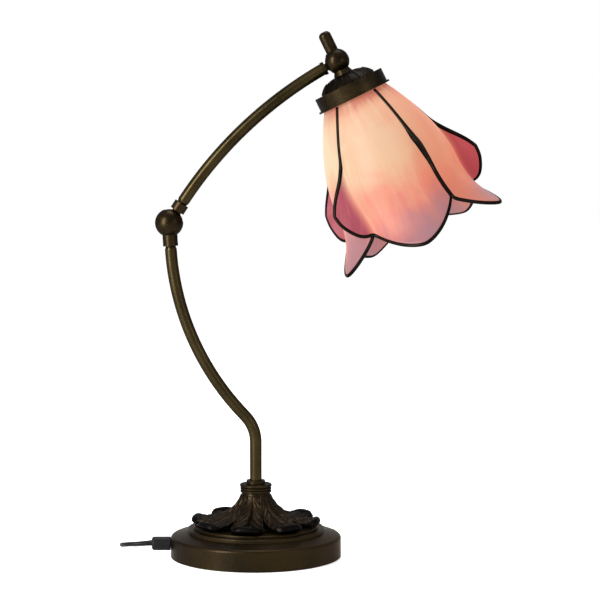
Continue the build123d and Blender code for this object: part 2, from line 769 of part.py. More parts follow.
def petal_section(s, thickness, right, left):
    """Closed level section of a sheet along a petal, between two runs from the right seam."""
    shares = np.linspace(0, 1, section_points)
    runs = right + (left - right) * shares
    line = np.array([petal_point(s, run)[:2] for run in runs])
    along = np.gradient(line, axis=0)
    normal = np.stack([-along[:, 1], along[:, 0]], axis=1)
    offset = normal / np.linalg.norm(normal, axis=1)[:, None] * thickness / 2
    level = petal_point(s, right)[2]
    spots = shares.tolist()
    outer = Edge.make_spline([Vector(x, y, level) for x, y in (line + offset).tolist()], parameters=spots)
    inner = Edge.make_spline([Vector(x, y, level) for x, y in (line - offset).tolist()], parameters=spots)
    return Wire([outer, Line(outer @ 1, inner @ 1), inner, Line(inner @ 0, outer @ 0)])


def petal_sheet(thickness):
    """Whole petal with a level end, before its outline is cut."""
    wires = []
    for s in shade_levels:
        wires.append(petal_section(s, thickness, seam_edges(s)[1] + collar_seat_gap, section_sizes(s)[3]))
    return Solid.make_loft(wires, ruled=True)


def petal_outline(inset):
    """Front view of a petal's left edge, lobe and free end, drawn in by an inset, as a solid to cut with."""
    points = []
    for s in np.linspace(petal_top - 2, petal_end(1) - inset, 12):
        points.append(petal_point(s, section_sizes(s)[3] - inset))
    for share in (0.93, 0.86, 0.79, 0.7, 0.6, 0.5, 0.39, 0.28, 0.18, 0.09, 0.0):
        s = petal_end(share) - inset
        points.append(petal_point(s, share * section_sizes(s)[3]))
    edge = Spline(*[(x, z) for x, y, z in points])
    far = petal_belly_radius + petal_flare
    border = Polyline(edge @ 1, (far, (edge @ 1).Y), (far, (edge @ 0).Y), edge @ 0)
    return extrude(make_face(Plane.XZ * Wire([edge, *border.edges()])), 2 * far)


def petal_glass():
    """Glass of one petal, inside its rim and seam leads."""
    return petal_sheet(glass_thickness) & petal_outline(rim_lead_width + solder_gap)


def rim_lead():
    """Lead along a petal's left edge, round its lobe and along its free end."""
    return (petal_sheet(lead_thickness) & petal_outline(0)) - petal_outline(rim_lead_width)


def seam_lead():
    """Lead along a petal's right seam, under the next petal's lobe."""
    wires = []
    for s in [level for level in shade_levels if seam_start < level < petal_end(0)] + [petal_end(0)]:
        start, stop = seam_edges(s)
        wires.append(petal_section(s, lead_thickness, start, stop))
    return Solid.make_loft(wires, ruled=True)


def shade(nodes):
    """Five petals and their leads round the head's axis, the first facing the front."""
    glass = petal_glass()
    lead = [rim_lead(), seam_lead()]
    for index in range(petal_count):
        turn = head_frame * Rot(0, 0, 360 / petal_count * index)
        nodes[f"petal_{index + 1}"] = turn * glass
        nodes[f"petal_lead_{index + 1}"] = Compound([turn * solid for piece in lead for solid in piece.solids()])


def cord_tube(points, name):
    """Cord along hand-chosen points, with arcs as large as their runs allow."""
    spots = [Vector(*p) for p in points]
    radii = []
    for before, here, after in zip(spots, spots[1:], spots[2:]):
        turn = math.radians((here - before).get_angle(after - here))
        shorter = min((here - before).length, (after - here).length)
        radii.append(0.45 * shorter / math.tan(turn / 2))
    path = FilletPolyline(*spots, radius=radii)
    tube = tube_along(path, cord_radius)
    print(name, "length", round(path.length, 1), "radii", [round(r, 1) for r in radii],
          "volume share", round(tube.volume / (math.pi * cord_radius ** 2 * path.length), 4))
    return tube


def cord_bush(nodes):
    """Bush in the base's wall with its locknut."""
    tip = -base_radius - bush_length
    bush = rod((tip, 0, bush_axis_z), (1, 0, 0), bush_radius, bush_length - 0.4)
    bush = fillet(bush.edges().sort_by(Axis.X)[0], bush_radius * 0.35)
    thread_end = -base_radius + base_wall + bush_locknut_height + 2
    bush += rod((-base_radius - 1, 0, bush_axis_z), (1, 0, 0), bush_thread_radius, thread_end + base_radius + 1)
    bush -= rod((tip - 1, 0, bush_axis_z), (1, 0, 0), cord_radius + fit_clearance, 1.5 * bush_length + 10)
    nodes["cord_bush"] = bush
    inner = base_radius - base_wall
    face = -math.sqrt(inner ** 2 - (0.6 * bush_locknut_across) ** 2) + fit_clearance
    nut = hex_nut(bush_locknut_across, bush_thread_radius + fit_clearance, 0, bush_locknut_height)
    nodes["bush_locknut"] = Pos(face, 0, bush_axis_z) * Rot(0, 90, 0) * nut


def flex_pieces(nodes):
    """Inner flex: from the bush through the base and up the lower tube, and along the upper tube."""
    start = -base_radius - bush_length + solder_gap
    floor = Line((start, bush_axis_z), (-flex_bend, bush_axis_z))
    turn = JernArc(floor @ 1, floor % 1, flex_bend, 90)
    stem = Line(turn @ 1, (0, stem_top_z))
    bend = JernArc(stem @ 1, stem % 1, foot_bend_radius, foot_bend_angle)
    bow = JernArc(bend @ 1, bend % 1, bow_radius, elbow_lean - foot_bend_angle)
    end = Line(bow @ 1, bow @ 1 + (bow % 1) * (neck_taper + spigot_length))
    nodes["lower_flex"] = tube_along(Plane.XZ * Wire([floor, turn, stem, bend, bow, end]), flex_radius)
    nodes["upper_flex"] = tube_along(upper_line.trim(0.0, 0.94), flex_radius)


def switch_pieces(nodes):
    """In-line switch on the lead: two shells and a rocker that turns in a round pocket."""
    last = lead_points[-1]
    frame = Location((last[0], last[1], 0), (0, 0, switch_heading))
    middle = switch_length / 2
    shell_length = switch_length - 2 * cord_end_gap
    body = Pos(middle, 0, switch_height / 2) * Box(shell_length, switch_width, switch_height)
    body = fillet(body.edges().filter_by(Axis.Z), switch_round)
    body = fillet(body.faces().sort_by(Axis.Z)[-1].edges(), switch_round * 0.6)
    pocket = Pos(middle, 0, rocker_axis_z) * Rot(90, 0, 0) * Cylinder(rocker_radius + rocker_clearance,
                                                                     rocker_width + 2 * rocker_clearance)
    half = Pos(middle, 0, 0) * Box(2 * switch_length, 2 * switch_width, switch_height)
    nodes["switch_lower_shell"] = frame * ((body & half) - pocket)
    nodes["switch_upper_shell"] = frame * (body - half - pocket)
    wheel = Rot(90, 0, 0) * Cylinder(rocker_radius, rocker_width)
    top = Pos(0, 0, rocker_face) * Box(4 * rocker_radius, 2 * rocker_width, rocker_radius,
                                       align=(Align.CENTER, Align.CENTER, Align.MIN))
    rocker = wheel - top
    nodes["switch_rocker"] = frame * Pos(middle, 0, rocker_axis_z) * Rot(0, rocker_throw / 2, 0) * rocker


def coil_path(start):
    """Two flat layers of cord: half turns that shrink inwards, one that climbs, then half turns outwards."""
    here = start
    along = Vector(1, 0, 0)
    left = Vector(0, 1, 0)
    inward = coil_half_turns // 2 - 1
    edges = [Line(here - along * 2 * cord_radius, here)]
    for index in range(coil_half_turns):
        step = inward - abs(inward - index)
        radius = coil_outer_radius - step * coil_pitch / 2
        end = here + left * 2 * radius
        if index == inward:
            end += Vector(0, 0, coil_layer)
            chord = end - here
            joint = (here + end) * 0.5 + along * (chord.length / 2)
            edges.append(TangentArc(here, joint, tangent=along))
            edges.append(TangentArc(joint, end, tangent=chord))
        else:
            edges.append(ThreePointArc(here, here + left * radius + along * radius, end))
        here = end
        along = along * -1
        left = left * -1
    edges.append(Line(here, here + along * 2 * cord_radius))
    return Wire(edges)


def least_gap(path):
    """Least distance between turns of a wound cord, measured on points along it."""
    count = 1500
    points = np.array([tuple(path @ share) for share in np.linspace(0, 1, count)])
    spacing = path.length / (count - 1)
    skip = int(math.pi * (coil_outer_radius - coil_half_turns / 4 * coil_pitch) / spacing)
    least = min(np.linalg.norm(points[i + skip:] - points[i], axis=1).min() for i in range(count - skip))
    return least - 2 * cord_radius


def cord_pieces(nodes):
    """Lead, switch, link, coil with its tie, tail and plug, all lying behind the base."""
    nodes["cord_lead"] = cord_tube(lead_points, "lead")
    switch_pieces(nodes)
    nodes["cord_link"] = cord_tube(link_points, "link")
    stub = Vector(*link_points[-1])
    path = coil_path(stub + Vector(2 * cord_radius, 0, 0))
    nodes["cord_coil"] = tube_along(path, cord_radius)
    print("coil length", round(path.length, 1), "least gap", round(least_gap(path), 3))
    middle = stub + Vector(2 * cord_radius, coil_outer_radius, 0)
    points = [path @ share for share in np.linspace(0, 1, 900)]
    beside = [p.X for p in points if abs(p.Y - middle.Y) < tie_width and p.X < middle.X]
    room = cord_radius + tie_clearance
    low = stub.Z - room
    wide = max(beside) - min(beside) + 2 * room
    high = coil_layer + 2 * room
    hole = Box(wide, 2 * tie_width, high)
    band = Box(wide + 2 * tie_thickness, tie_width, high + 2 * tie_thickness)
    band = fillet(band.edges().filter_by(Axis.Y), tie_thickness)
    nodes["coil_tie"] = Pos((max(beside) + min(beside)) / 2, middle.Y, low + high / 2) * (band - hole)
    tail = [path @ 1]
    for run in tail_runs:
        tail.append(tail[-1] + Vector(*run))
    nodes["cord_tail"] = cord_tube([tuple(p) for p in tail], "tail")
    plug = Location((tail[-1].X, tail[-1].Y, 0), (0, 0, plug_heading))
    plug *= Pos(cord_end_gap, 0, 0)
    body = Pos(plug_length / 2, 0, plug_height / 2) * Box(plug_length, plug_width, plug_height)
    body = fillet(body.edges().filter_by(Axis.Z), plug_round)
    body = fillet(body.faces().sort_by(Axis.Z)[-1].edges(), plug_round * 0.6)
    nodes["plug_body"] = plug * body
    blade = Box(blade_length, blade_thickness, blade_width)
    blade = Pos(plug_length + blade_length / 2, 0, plug_height / 2) * blade
    nodes["plug_blades"] = Compound([plug * Pos(0, side * blade_spacing / 2, 0) * blade for side in (-1, 1)])


nodes = {}
nodes["base_shell"] = base_shell()
bottom_pieces(nodes)
nodes["leaf_crown"] = leaf_crown()
base_column(nodes)
elbow_pieces(nodes)
upper_arm(nodes)
head_knuckle(nodes)
spider_low = shade_holder(nodes)
lampholder(nodes, spider_low)
shade(nodes)
cord_bush(nodes)
flex_pieces(nodes)
cord_pieces(nodes)

os.makedirs("parts", exist_ok=True)
for name, piece in nodes.items():
    export_step(piece, f"parts/{name}.step")
print("elbow", elbow, "head", head, "petal top", petal_top)
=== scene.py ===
"""Flower-shade desk lamp as photographed: finishes, cord, glass petals, leaf crown, camera and lights."""
import json
import math

import bmesh
import bpy
from mathutils import Matrix, Vector


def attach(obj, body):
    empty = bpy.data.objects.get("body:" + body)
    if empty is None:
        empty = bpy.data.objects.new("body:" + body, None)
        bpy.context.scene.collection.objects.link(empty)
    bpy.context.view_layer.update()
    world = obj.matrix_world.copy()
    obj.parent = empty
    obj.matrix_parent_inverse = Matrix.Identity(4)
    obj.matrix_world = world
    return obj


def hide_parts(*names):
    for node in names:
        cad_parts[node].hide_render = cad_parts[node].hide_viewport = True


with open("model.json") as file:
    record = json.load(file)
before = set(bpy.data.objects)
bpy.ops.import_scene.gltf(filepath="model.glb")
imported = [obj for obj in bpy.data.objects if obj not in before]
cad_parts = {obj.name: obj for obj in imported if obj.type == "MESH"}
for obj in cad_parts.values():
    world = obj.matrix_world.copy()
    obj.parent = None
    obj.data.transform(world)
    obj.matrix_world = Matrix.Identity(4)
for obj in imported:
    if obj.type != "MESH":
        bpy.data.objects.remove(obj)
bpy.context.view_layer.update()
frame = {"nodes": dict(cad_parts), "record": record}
scene = bpy.context.scene
MM = 0.001

# Joint of the head and tilt of the shade's axis, as the frame has them
HEAD = Vector((71.8489, 0, 440.456)) * MM
HEAD_TILT = math.radians(26)

# Camera that fits the photograph: about two metres away and a little above the lamp, pitched down in degrees
CAMERA_PLACE = (0.0394, -2.030, 0.405)
CAMERA_PITCH = 4.93
CAMERA_LENS = 138.0

CORD_RADIUS = 2.1 * MM


def linear(hex_colour):
    """Linear colour of an sRGB hex value."""
    channels = []
    for start in (1, 3, 5):
        value = int(hex_colour[start:start + 2], 16) / 255
        channels.append(value / 12.92 if value <= 0.04045 else ((value + 0.055) / 1.055) ** 2.4)
    return (*channels, 1.0)


def add(tree, kind, links=None, stops=(), **settings):
    """Add a node, set its properties, sockets and colour stops, and link the sockets that are named."""
    node = tree.nodes.new(kind)
    for index, (position, colour) in enumerate(stops):
        elements = node.color_ramp.elements
        element = elements[index] if index < len(elements) else elements.new(position)
        element.position = position
        element.color = linear(colour)
    for name, value in settings.items():
        if name.startswith("in_"):
            key = name[3:]
            node.inputs[int(key) if key.isdigit() else key.replace("_", " ")].default_value = value
        else:
            setattr(node, name, value)
    for key, socket in (links or {}).items():
        tree.links.new(socket, node.inputs[key])
    return node


def new_material(name):
    """Empty material with its principled shader."""
    material = bpy.data.materials.new(name)
    material.use_nodes = True
    tree = material.node_tree
    return material, tree, tree.nodes["Principled BSDF"]


def bronze(name, dark, middle, light, roughness, blotch=18.0, grain=0.9, edge="#585550"):
    """Cast or spun brass under an antique bronze patina: brown-black clouds with a fine olive-gold grain."""
    material, tree, shader = new_material(name)
    place = add(tree, "ShaderNodeTexCoord").outputs["Object"]
    clouds = add(tree, "ShaderNodeTexNoise", {"Vector": place}, in_Scale=1 / (blotch * MM), in_Detail=4.0)
    grit = add(tree, "ShaderNodeTexNoise", {"Vector": place}, in_Scale=1 / (grain * MM), in_Detail=2.0)
    patina = add(tree, "ShaderNodeValToRGB", {"Fac": clouds.outputs["Fac"]},
                 stops=[(0.3, dark), (0.7, middle)])
    flecks = add(tree, "ShaderNodeMapRange", {"Value": grit.outputs["Fac"]},
                 in_From_Min=0.45, in_From_Max=0.75, in_To_Min=0.0, in_To_Max=0.3)
    colour = add(tree, "ShaderNodeMix", {"Factor": flecks.outputs[0], "A": patina.outputs["Color"]},
                 data_type="RGBA", in_B=linear(light))
    tree.links.new(colour.outputs["Result"], shader.inputs["Base Color"])
    rough = add(tree, "ShaderNodeMapRange", {"Value": clouds.outputs["Fac"]},
                in_To_Min=roughness - 0.06, in_To_Max=roughness + 0.1)
    tree.links.new(rough.outputs[0], shader.inputs["Roughness"])
    shader.inputs["Metallic"].default_value = 0.85
    shader.inputs["Specular Tint"].default_value = linear(edge)
    dents = add(tree, "ShaderNodeBump", {"Height": grit.outputs["Fac"]},
                in_Strength=0.1, in_Distance=0.1 * MM)
    tree.links.new(dents.outputs["Normal"], shader.inputs["Normal"])
    return material


def plain_finish(name, colour, other, metallic, roughness, grain, depth):
    """Moulded, cut or rolled surface with a fine grain in its colour and gloss."""
    material, tree, shader = new_material(name)
    place = add(tree, "ShaderNodeTexCoord").outputs["Object"]
    grit = add(tree, "ShaderNodeTexNoise", {"Vector": place}, in_Scale=1 / (grain * MM), in_Detail=2.0)
    tint = add(tree, "ShaderNodeValToRGB", {"Fac": grit.outputs["Fac"]},
               stops=[(0.35, colour), (0.65, other)])
    tree.links.new(tint.outputs["Color"], shader.inputs["Base Color"])
    rough = add(tree, "ShaderNodeMapRange", {"Value": grit.outputs["Fac"]},
                in_To_Min=roughness - 0.05, in_To_Max=roughness + 0.08)
    tree.links.new(rough.outputs[0], shader.inputs["Roughness"])
    shader.inputs["Metallic"].default_value = metallic
    shader.inputs["Specular IOR Level"].default_value = 0.5 if metallic else 0.1
    dents = add(tree, "ShaderNodeBump", {"Height": grit.outputs["Fac"]},
                in_Strength=0.15, in_Distance=depth * MM)
    tree.links.new(dents.outputs["Normal"], shader.inputs["Normal"])
    return material


# Streaks run down the glass, about 9 mm wide at the belly and ten times as long
STREAKS_PER_RADIAN = 5.5
STREAKS_PER_SHEET = 1.5
# Most of what is seen of the glass is the bulb's light through it, painted on as a glow, and little light
# comes back off it
GLASS_REFLECTS = 0.12
# A lobe stands away from the bulb, and its painted glow is weaker
LOBE_GLOW = 0.78


def petal_glass():
    """Streaky opalescent sheet glass with a painted glow for the light of the bulb inside: cream and peach by
    the bulb, rose on lobes and tips.
    """
    material, tree, shader = new_material("streaky_opalescent_glass")
    turn = Matrix.Rotation(HEAD_TILT, 3, "Y")
    world = add(tree, "ShaderNodeTexCoord").outputs["Object"]
    place = add(tree, "ShaderNodeMapping", {"Vector": world}, in_Location=-(turn @ HEAD),
                in_Rotation=(0, HEAD_TILT, 0))
    axes = add(tree, "ShaderNodeSeparateXYZ", {"Vector": place.outputs[0]})
    sheet = add(tree, "ShaderNodeUVMap", uv_map="sheet")
    spot = add(tree, "ShaderNodeSeparateXYZ", {"Vector": sheet.outputs[0]})
    drop = spot.outputs["Y"]
    lobe = add(tree, "ShaderNodeAttribute", attribute_name="lobe").outputs["Fac"]
    around = add(tree, "ShaderNodeMath", {0: axes.outputs["X"], 1: axes.outputs["Y"]}, operation="ARCTAN2")
    lane = add(tree, "ShaderNodeMath", {0: around.outputs[0]}, operation="MULTIPLY", in_1=STREAKS_PER_RADIAN)
    run = add(tree, "ShaderNodeMath", {0: drop}, operation="MULTIPLY", in_1=STREAKS_PER_SHEET)
    streak_place = add(tree, "ShaderNodeCombineXYZ", {"X": lane.outputs[0], "Y": run.outputs[0]})
    streaks = add(tree, "ShaderNodeTexNoise", {"Vector": streak_place.outputs[0]},
                  in_Scale=1.0, in_Detail=5.0, in_Roughness=0.6, in_Distortion=0.8)
    clouds = add(tree, "ShaderNodeTexNoise", {"Vector": place.outputs[0]},
                 in_Scale=1 / (36 * MM), in_Detail=3.0, in_Distortion=0.4)
    shift = add(tree, "ShaderNodeMapRange", {"Value": streaks.outputs["Fac"]},
                in_From_Min=0.25, in_From_Max=0.75, in_To_Min=-0.1, in_To_Max=0.1)
    cloud_shift = add(tree, "ShaderNodeMapRange", {"Value": clouds.outputs["Fac"]},
                      in_From_Min=0.3, in_From_Max=0.7, in_To_Min=-0.1, in_To_Max=0.1)
    clouded = add(tree, "ShaderNodeMath", {0: drop, 1: cloud_shift.outputs[0]}, operation="ADD")
    moved = add(tree, "ShaderNodeMath", {0: clouded.outputs[0], 1: shift.outputs[0]}, operation="ADD")
    # Colour down the sheet, partly the glass's own colour and partly painted light and shade: coral in the
    # collar's painted shade at the top, cream and peach where the bulb shines through most, and coral to rose
    # towards the tips
    belly_tint_and_light = add(tree, "ShaderNodeValToRGB", {"Fac": moved.outputs[0]},
                stops=[(0.0, "#EC9078"), (0.1, "#FBBA96"), (0.24, "#FCCEA8"), (0.42, "#FBC8A0"),
                       (0.58, "#FBB090"), (0.72, "#FF9880"), (0.86, "#EC8A80"), (1.0, "#CC8488")])
    # The sheets towards the lamp's outer side are a deeper coral
    outer = add(tree, "ShaderNodeMapRange", {"Value": axes.outputs["X"]},
                in_From_Min=10 * MM, in_From_Max=44 * MM, in_To_Min=0.0, in_To_Max=0.7)
    deeper = add(tree, "ShaderNodeMix", {"Factor": outer.outputs[0], "A": belly_tint_and_light.outputs["Color"]},
                 data_type="RGBA", in_B=linear("#FF9470"))
    # The sheet on the arm's side is paler in its upper part, partly cream glass and partly painted light that
    # lifts the side turned away from the lamps
    inner = add(tree, "ShaderNodeMapRange", {"Value": axes.outputs["X"]},
                in_From_Min=-22 * MM, in_From_Max=-40 * MM, in_To_Min=0.0, in_To_Max=0.9)
    upper = add(tree, "ShaderNodeMapRange", {"Value": moved.outputs[0]}, interpolation_type="SMOOTHSTEP",
                in_From_Min=0.22, in_From_Max=0.44, in_To_Min=1.0, in_To_Max=0.0)
    cream_and_painted_lift = add(tree, "ShaderNodeMath", {0: inner.outputs[0], 1: upper.outputs[0]}, operation="MULTIPLY")
    paler_and_lifted = add(tree, "ShaderNodeMix", {"Factor": cream_and_painted_lift.outputs[0], "A": deeper.outputs["Result"]},
                data_type="RGBA", in_B=linear("#FFE6C0"))
    # A mauve cloud lies low on each sheet, towards its tip
    low = add(tree, "ShaderNodeMapRange", {"Value": clouded.outputs[0]}, interpolation_type="SMOOTHSTEP",
              in_From_Min=0.64, in_From_Max=0.92)
    side = add(tree, "ShaderNodeMapRange", {"Value": spot.outputs["X"]}, interpolation_type="SMOOTHSTEP",
               in_From_Min=0.3, in_From_Max=0.62, in_To_Min=0.8, in_To_Max=0.0)
    patch = add(tree, "ShaderNodeMath", {0: low.outputs[0], 1: side.outputs[0]}, operation="MULTIPLY")
    mauve = add(tree, "ShaderNodeMix", {"Factor": patch.outputs[0], "A": paler_and_lifted.outputs["Result"]},
                data_type="RGBA", in_B=linear("#BE8A92"))
    # The lobes are rose, partly the glass's colour and partly painted shade where little of the bulb's light
    # comes through, and redder on the outer side
    rose = add(tree, "ShaderNodeValToRGB", {"Fac": streaks.outputs["Fac"]},
               stops=[(0.3, "#B84C60"), (0.52, "#CE6070"), (0.72, "#E2868C")])
    redder = add(tree, "ShaderNodeMix", {"Factor": outer.outputs[0], "A": rose.outputs["Color"]},
                 data_type="RGBA", in_B=linear("#EC5E62"))
    folded = add(tree, "ShaderNodeMapRange", {"Value": lobe}, interpolation_type="SMOOTHSTEP",
                 in_From_Min=0.02, in_From_Max=0.46)
    colour = add(tree, "ShaderNodeMix", {"Factor": folded.outputs[0], "A": mauve.outputs["Result"],
                                         "B": redder.outputs["Result"]}, data_type="RGBA")
    # Painted glow: the glass's colour is given off as light, standing in for the bulb shining through, and
    # only a dim copy of it reflects the lamps
    body = add(tree, "ShaderNodeHueSaturation", {"Color": colour.outputs["Result"]}, in_Value=GLASS_REFLECTS)
    tree.links.new(body.outputs["Color"], shader.inputs["Base Color"])
    tree.links.new(colour.outputs["Result"], shader.inputs["Emission Color"])
    # Painted glow strength down the sheet: dimmer by the collar, brightest about the bulb, a little dimmer at
    # the tips, and dimmer again on the lobes
    glow = add(tree, "ShaderNodeValToRGB", {"Fac": drop},
               stops=[(0.0, "#B4B4B4"), (0.1, "#D2D2D2"), (0.32, "#CECECE"), (0.6, "#D2D2D2"),
                      (1.0, "#BEBEBE")])
    painted_lobe_dimming = add(tree, "ShaderNodeMapRange", {"Value": folded.outputs[0]}, in_To_Min=1.0, in_To_Max=LOBE_GLOW)
    light = add(tree, "ShaderNodeMath", {0: glow.outputs["Color"], 1: painted_lobe_dimming.outputs[0]}, operation="MULTIPLY")
    tree.links.new(light.outputs[0], shader.inputs["Emission Strength"])
    shader.inputs["Roughness"].default_value = 0.5
    shader.inputs["Specular IOR Level"].default_value = 0.2
    ripple = add(tree, "ShaderNodeTexNoise", {"Vector": place.outputs[0]},
                 in_Scale=1 / (9 * MM), in_Detail=1.0)
    waves = add(tree, "ShaderNodeBump", {"Height": ripple.outputs["Fac"]},
                in_Strength=0.2, in_Distance=0.5 * MM)
    tree.links.new(waves.outputs["Normal"], shader.inputs["Normal"])
    return material


def frosted_bulb():
    """Frosted bulb glass, glowing warm."""
    material, tree, shader = new_material("frosted_bulb_glass")
    place = add(tree, "ShaderNodeTexCoord").outputs["Object"]
    frost = add(tree, "ShaderNodeTexNoise", {"Vector": place}, in_Scale=1 / (3 * MM))
    tint = add(tree, "ShaderNodeValToRGB", {"Fac": frost.outputs["Fac"]},
               stops=[(0.3, "#FFEFD6"), (0.7, "#FFF6E6")])
    tree.links.new(tint.outputs["Color"], shader.inputs["Base Color"])
    tree.links.new(tint.outputs["Color"], shader.inputs["Emission Color"])
    shader.inputs["Emission Strength"].default_value = 1.2
    shader.inputs["Roughness"].default_value = 0.45
    return material


FINISHES = {
    "antique_bronze": bronze("antique_bronze_patina", "#130E08", "#261E12", "#443822", roughness=0.32),
    "worn_bronze": bronze("rubbed_bronze", "#17120A", "#261E12", "#3E3420", roughness=0.32),
    "zinc_steel": plain_finish("zinc_plated_steel", "#8F9090", "#A8A9A8",
                               metallic=1.0, roughness=0.35, grain=1.5, depth=0.05),
    "iron": plain_finish("cast_iron_ballast", "#2B2A28", "#3A3835",
                         metallic=0.6, roughness=0.65, grain=2.0, depth=0.3),
    "felt": plain_finish("pressed_wool_felt", "#1C1B1A", "#2A2826",
                         metallic=0.0, roughness=0.9, grain=0.8, depth=0.3),
    "washer_nylon": plain_finish("moulded_nylon", "#1E1E1E", "#282828",
                                 metallic=0.0, roughness=0.5, grain=0.6, depth=0.03),
    "black_plastic": plain_finish("moulded_black_plastic", "#0A0A0C", "#101013",
                                  metallic=0.0, roughness=0.42, grain=0.7, depth=0.04),
    "rocker_plastic": plain_finish("polished_black_plastic", "#0E0E0F", "#151516",
                                   metallic=0.0, roughness=0.2, grain=1.2, depth=0.02),
    "contact_brass": plain_finish("stamped_brass", "#B08D4A", "#C4A25C",
                                  metallic=1.0, roughness=0.3, grain=1.0, depth=0.03),
    "cap_aluminium": plain_finish("drawn_aluminium", "#C4C4C2", "#D2D2D0",
                                  metallic=1.0, roughness=0.3, grain=1.0, depth=0.03),
    "bulb_glass": frosted_bulb(),
    "petal_glass": petal_glass(),
    "lead_came": bronze("black_patina_lead", "#0C0908", "#16110E", "#2A221A",
                        roughness=0.34, blotch=9.0, grain=0.7),
    "black_cord": plain_finish("extruded_black_vinyl", "#070708", "#0D0D0E",
                               metallic=0.0, roughness=0.4, grain=0.9, depth=0.04),
    "blade_brass": plain_finish("plated_brass_blades", "#B89A58", "#C8AC6C",
                                metallic=1.0, roughness=0.25, grain=1.0, depth=0.02),
}

# Finishes of single pieces whose patina differs from the rest of their slot
PATINAS = {
    "lower_tube": bronze("rubbed_bronze_tube", "#1D180C", "#302817", "#4A4028", roughness=0.28, blotch=30.0),
    "base_shell": bronze("spun_bronze_base", "#0E0A05", "#261C0C", "#362B15", roughness=0.36, blotch=60.0,
                         edge="#B2AEA6"),
    "vent_dome": bronze("blackened_bronze", "#0A0806", "#130F0A", "#261E13", roughness=0.34),
}
PATINAS["upper_tube"] = PATINAS["lower_tube"]

# Every node keeps the record's slot and gets its finish
slot_of = {piece["node"]: piece["material_slot"] for piece in frame["record"]["subparts"]}
for name, node in frame["nodes"].items():
    node.data.materials.clear()
    node.data.materials.append(PATINAS.get(name) or FINISHES[slot_of[name]])

lens = bpy.data.cameras.new("photo_camera")
lens.sensor_width = 36
lens.lens = CAMERA_LENS
lens.clip_end = 50
camera = bpy.data.objects.new("photo_camera", lens)
camera.location = CAMERA_PLACE
camera.rotation_euler = (math.radians(90 - CAMERA_PITCH), 0, 0)
scene.collection.objects.link(camera)
scene.camera = camera

# Route of the cord in millimetres: out of the bush, round behind the base and into the switch
LEAD = [
    (-93.0, 0.0, 11.5),
    (-104.0, 0.0, 11.2),
    (-115.0, 5.8, 9.6),
    (-121.8, 16.6, 7.0),
    (-121.6, 29.8, 4.4),
    (-114.5, 41.3, 2.8),
    (-102.0, 49.0, 2.3),
    (-84.0, 57.15, 3.4),
    (-67.0, 66.0, 5.4),
]
# Out of the switch and down to the coil
LINK = [
    (-29.75, 85.39, 5.4),
    (-20.5, 90.2, 4.6),
    (-12.0, 92.6, 3.45),
    (-4.2, 92.6, 3.45),
]
# Steps from the coil's end to the plug
TAIL = [(4.2, 0.0, 0.0), (8.8, 0.0, 0.0), (15.0, -5.46, -1.35)]
COIL_OUTER = 36.0
COIL_PITCH = 4.65
COIL_LAYER = 4.65
HALF_TURNS = 16
POINTS_PER_HALF = 8


def coil_points(start):
    """Turns of the coil: in along the table, one half turn up, and out on top of the first layer."""
    points = []
    here = Vector(start)
    side = 1
    climb_at = HALF_TURNS // 2 - 1
    for index in range(HALF_TURNS):
        radius = COIL_OUTER - (climb_at - abs(climb_at - index)) * COIL_PITCH / 2
        reach = radius / math.cos(math.pi / POINTS_PER_HALF / 2)
        rise = COIL_LAYER if index == climb_at else 0
        for step in range(POINTS_PER_HALF):
            share = (step + 0.5) / POINTS_PER_HALF
            angle = math.pi * share
            out = side * reach * math.sin(angle)
            along = side * (radius - reach * math.cos(angle))
            points.append(here + Vector((out, along, rise * share)))
        here = here + Vector((0, side * 2 * radius, rise))
        side = -side
    return points, here


def cord_curve(name, points, radius, swell=None):
    """Round cord along one smooth spline through its route's control points, swelling where it is told to."""
    line = bpy.data.curves.new(name, "CURVE")
    line.dimensions = "3D"
    spline = line.splines.new("NURBS")
    spline.points.add(len(points) - 1)
    for point, place in zip(spline.points, points):
        point.co = (*(Vector(place) * MM), 1)
    for point, factor in zip(spline.points, swell or []):
        point.radius = factor
    spline.order_u = 3
    spline.use_endpoint_u = True
    spline.resolution_u = 6
    line.bevel_depth = radius
    line.bevel_resolution = 4
    line.use_fill_caps = True
    obj = bpy.data.objects.new(name, line)
    scene.collection.objects.link(obj)
    return obj


# The coil starts one cord's width past the link's end
turns, coil_end = coil_points(Vector(LINK[-1]) + Vector((2 * CORD_RADIUS / MM, 0, 0)))
tail = [coil_end]
for step in TAIL:
    tail.append(tail[-1] + Vector(step))
cord = cord_curve("mains_cord", [*LEAD, *LINK, *turns, *tail], CORD_RADIUS)
cord.data.materials.append(FINISHES["black_cord"])
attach(cord, "base")
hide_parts("cord_lead", "cord_link", "cord_coil", "cord_tail")


# Petal's sheet, in millimetres down from the collar and along its section from the right seam
PETAL_COUNT = 5
COLLAR_BOTTOM = 35.6
SHEET_TOP = -10.1
SHEET_LENGTH = 137.0
SHEET_THICKNESS = 2.2
SHEET_ROWS = 44
SHEET_COLUMNS = 36

# Radius of the shade: narrow at the collar, out over the shoulder, and flared towards the tips
COLLAR_RADIUS = 28.7
SHOULDER_OUT = 28.8
SHOULDER_END = 80.0
SHOULDER_POWER = 1.65
FLARE_OUT = 20.5
FLARE_START = 77.0
FLARE_POWER = 2.9

# A petal's free end drops to its tip, at a share of the section, and rises round the lobe's corner
TIP_DROP = 25.0
TIP_SHARE = 0.4
TIP_POWER = 1.5
LOBE_SHARE = 0.24
LOBE_POWER = 2.5

# Each sheet's right seam swings to the left half way down; the front sheet's is cut nearly straight
SEAM_RUN = 116.6
SEAM_SWINGS = [math.radians(swing) for swing in (2.5, 9.5, 9.5, 9.5, 9.5)]

# The lobes are bent by hand and the one on the arm's side stands up further
LOBE_HEIGHT = 22.5
LOBE_START = 42.0
LOBE_FULL = 96.0
LOBE_CORNER = 85.0
LOBE_TURNS = [math.radians(turn) for turn in (54, 54, 54, 54, 72)]
CREASE = 3.0
CREASE_SHARE = 0.6

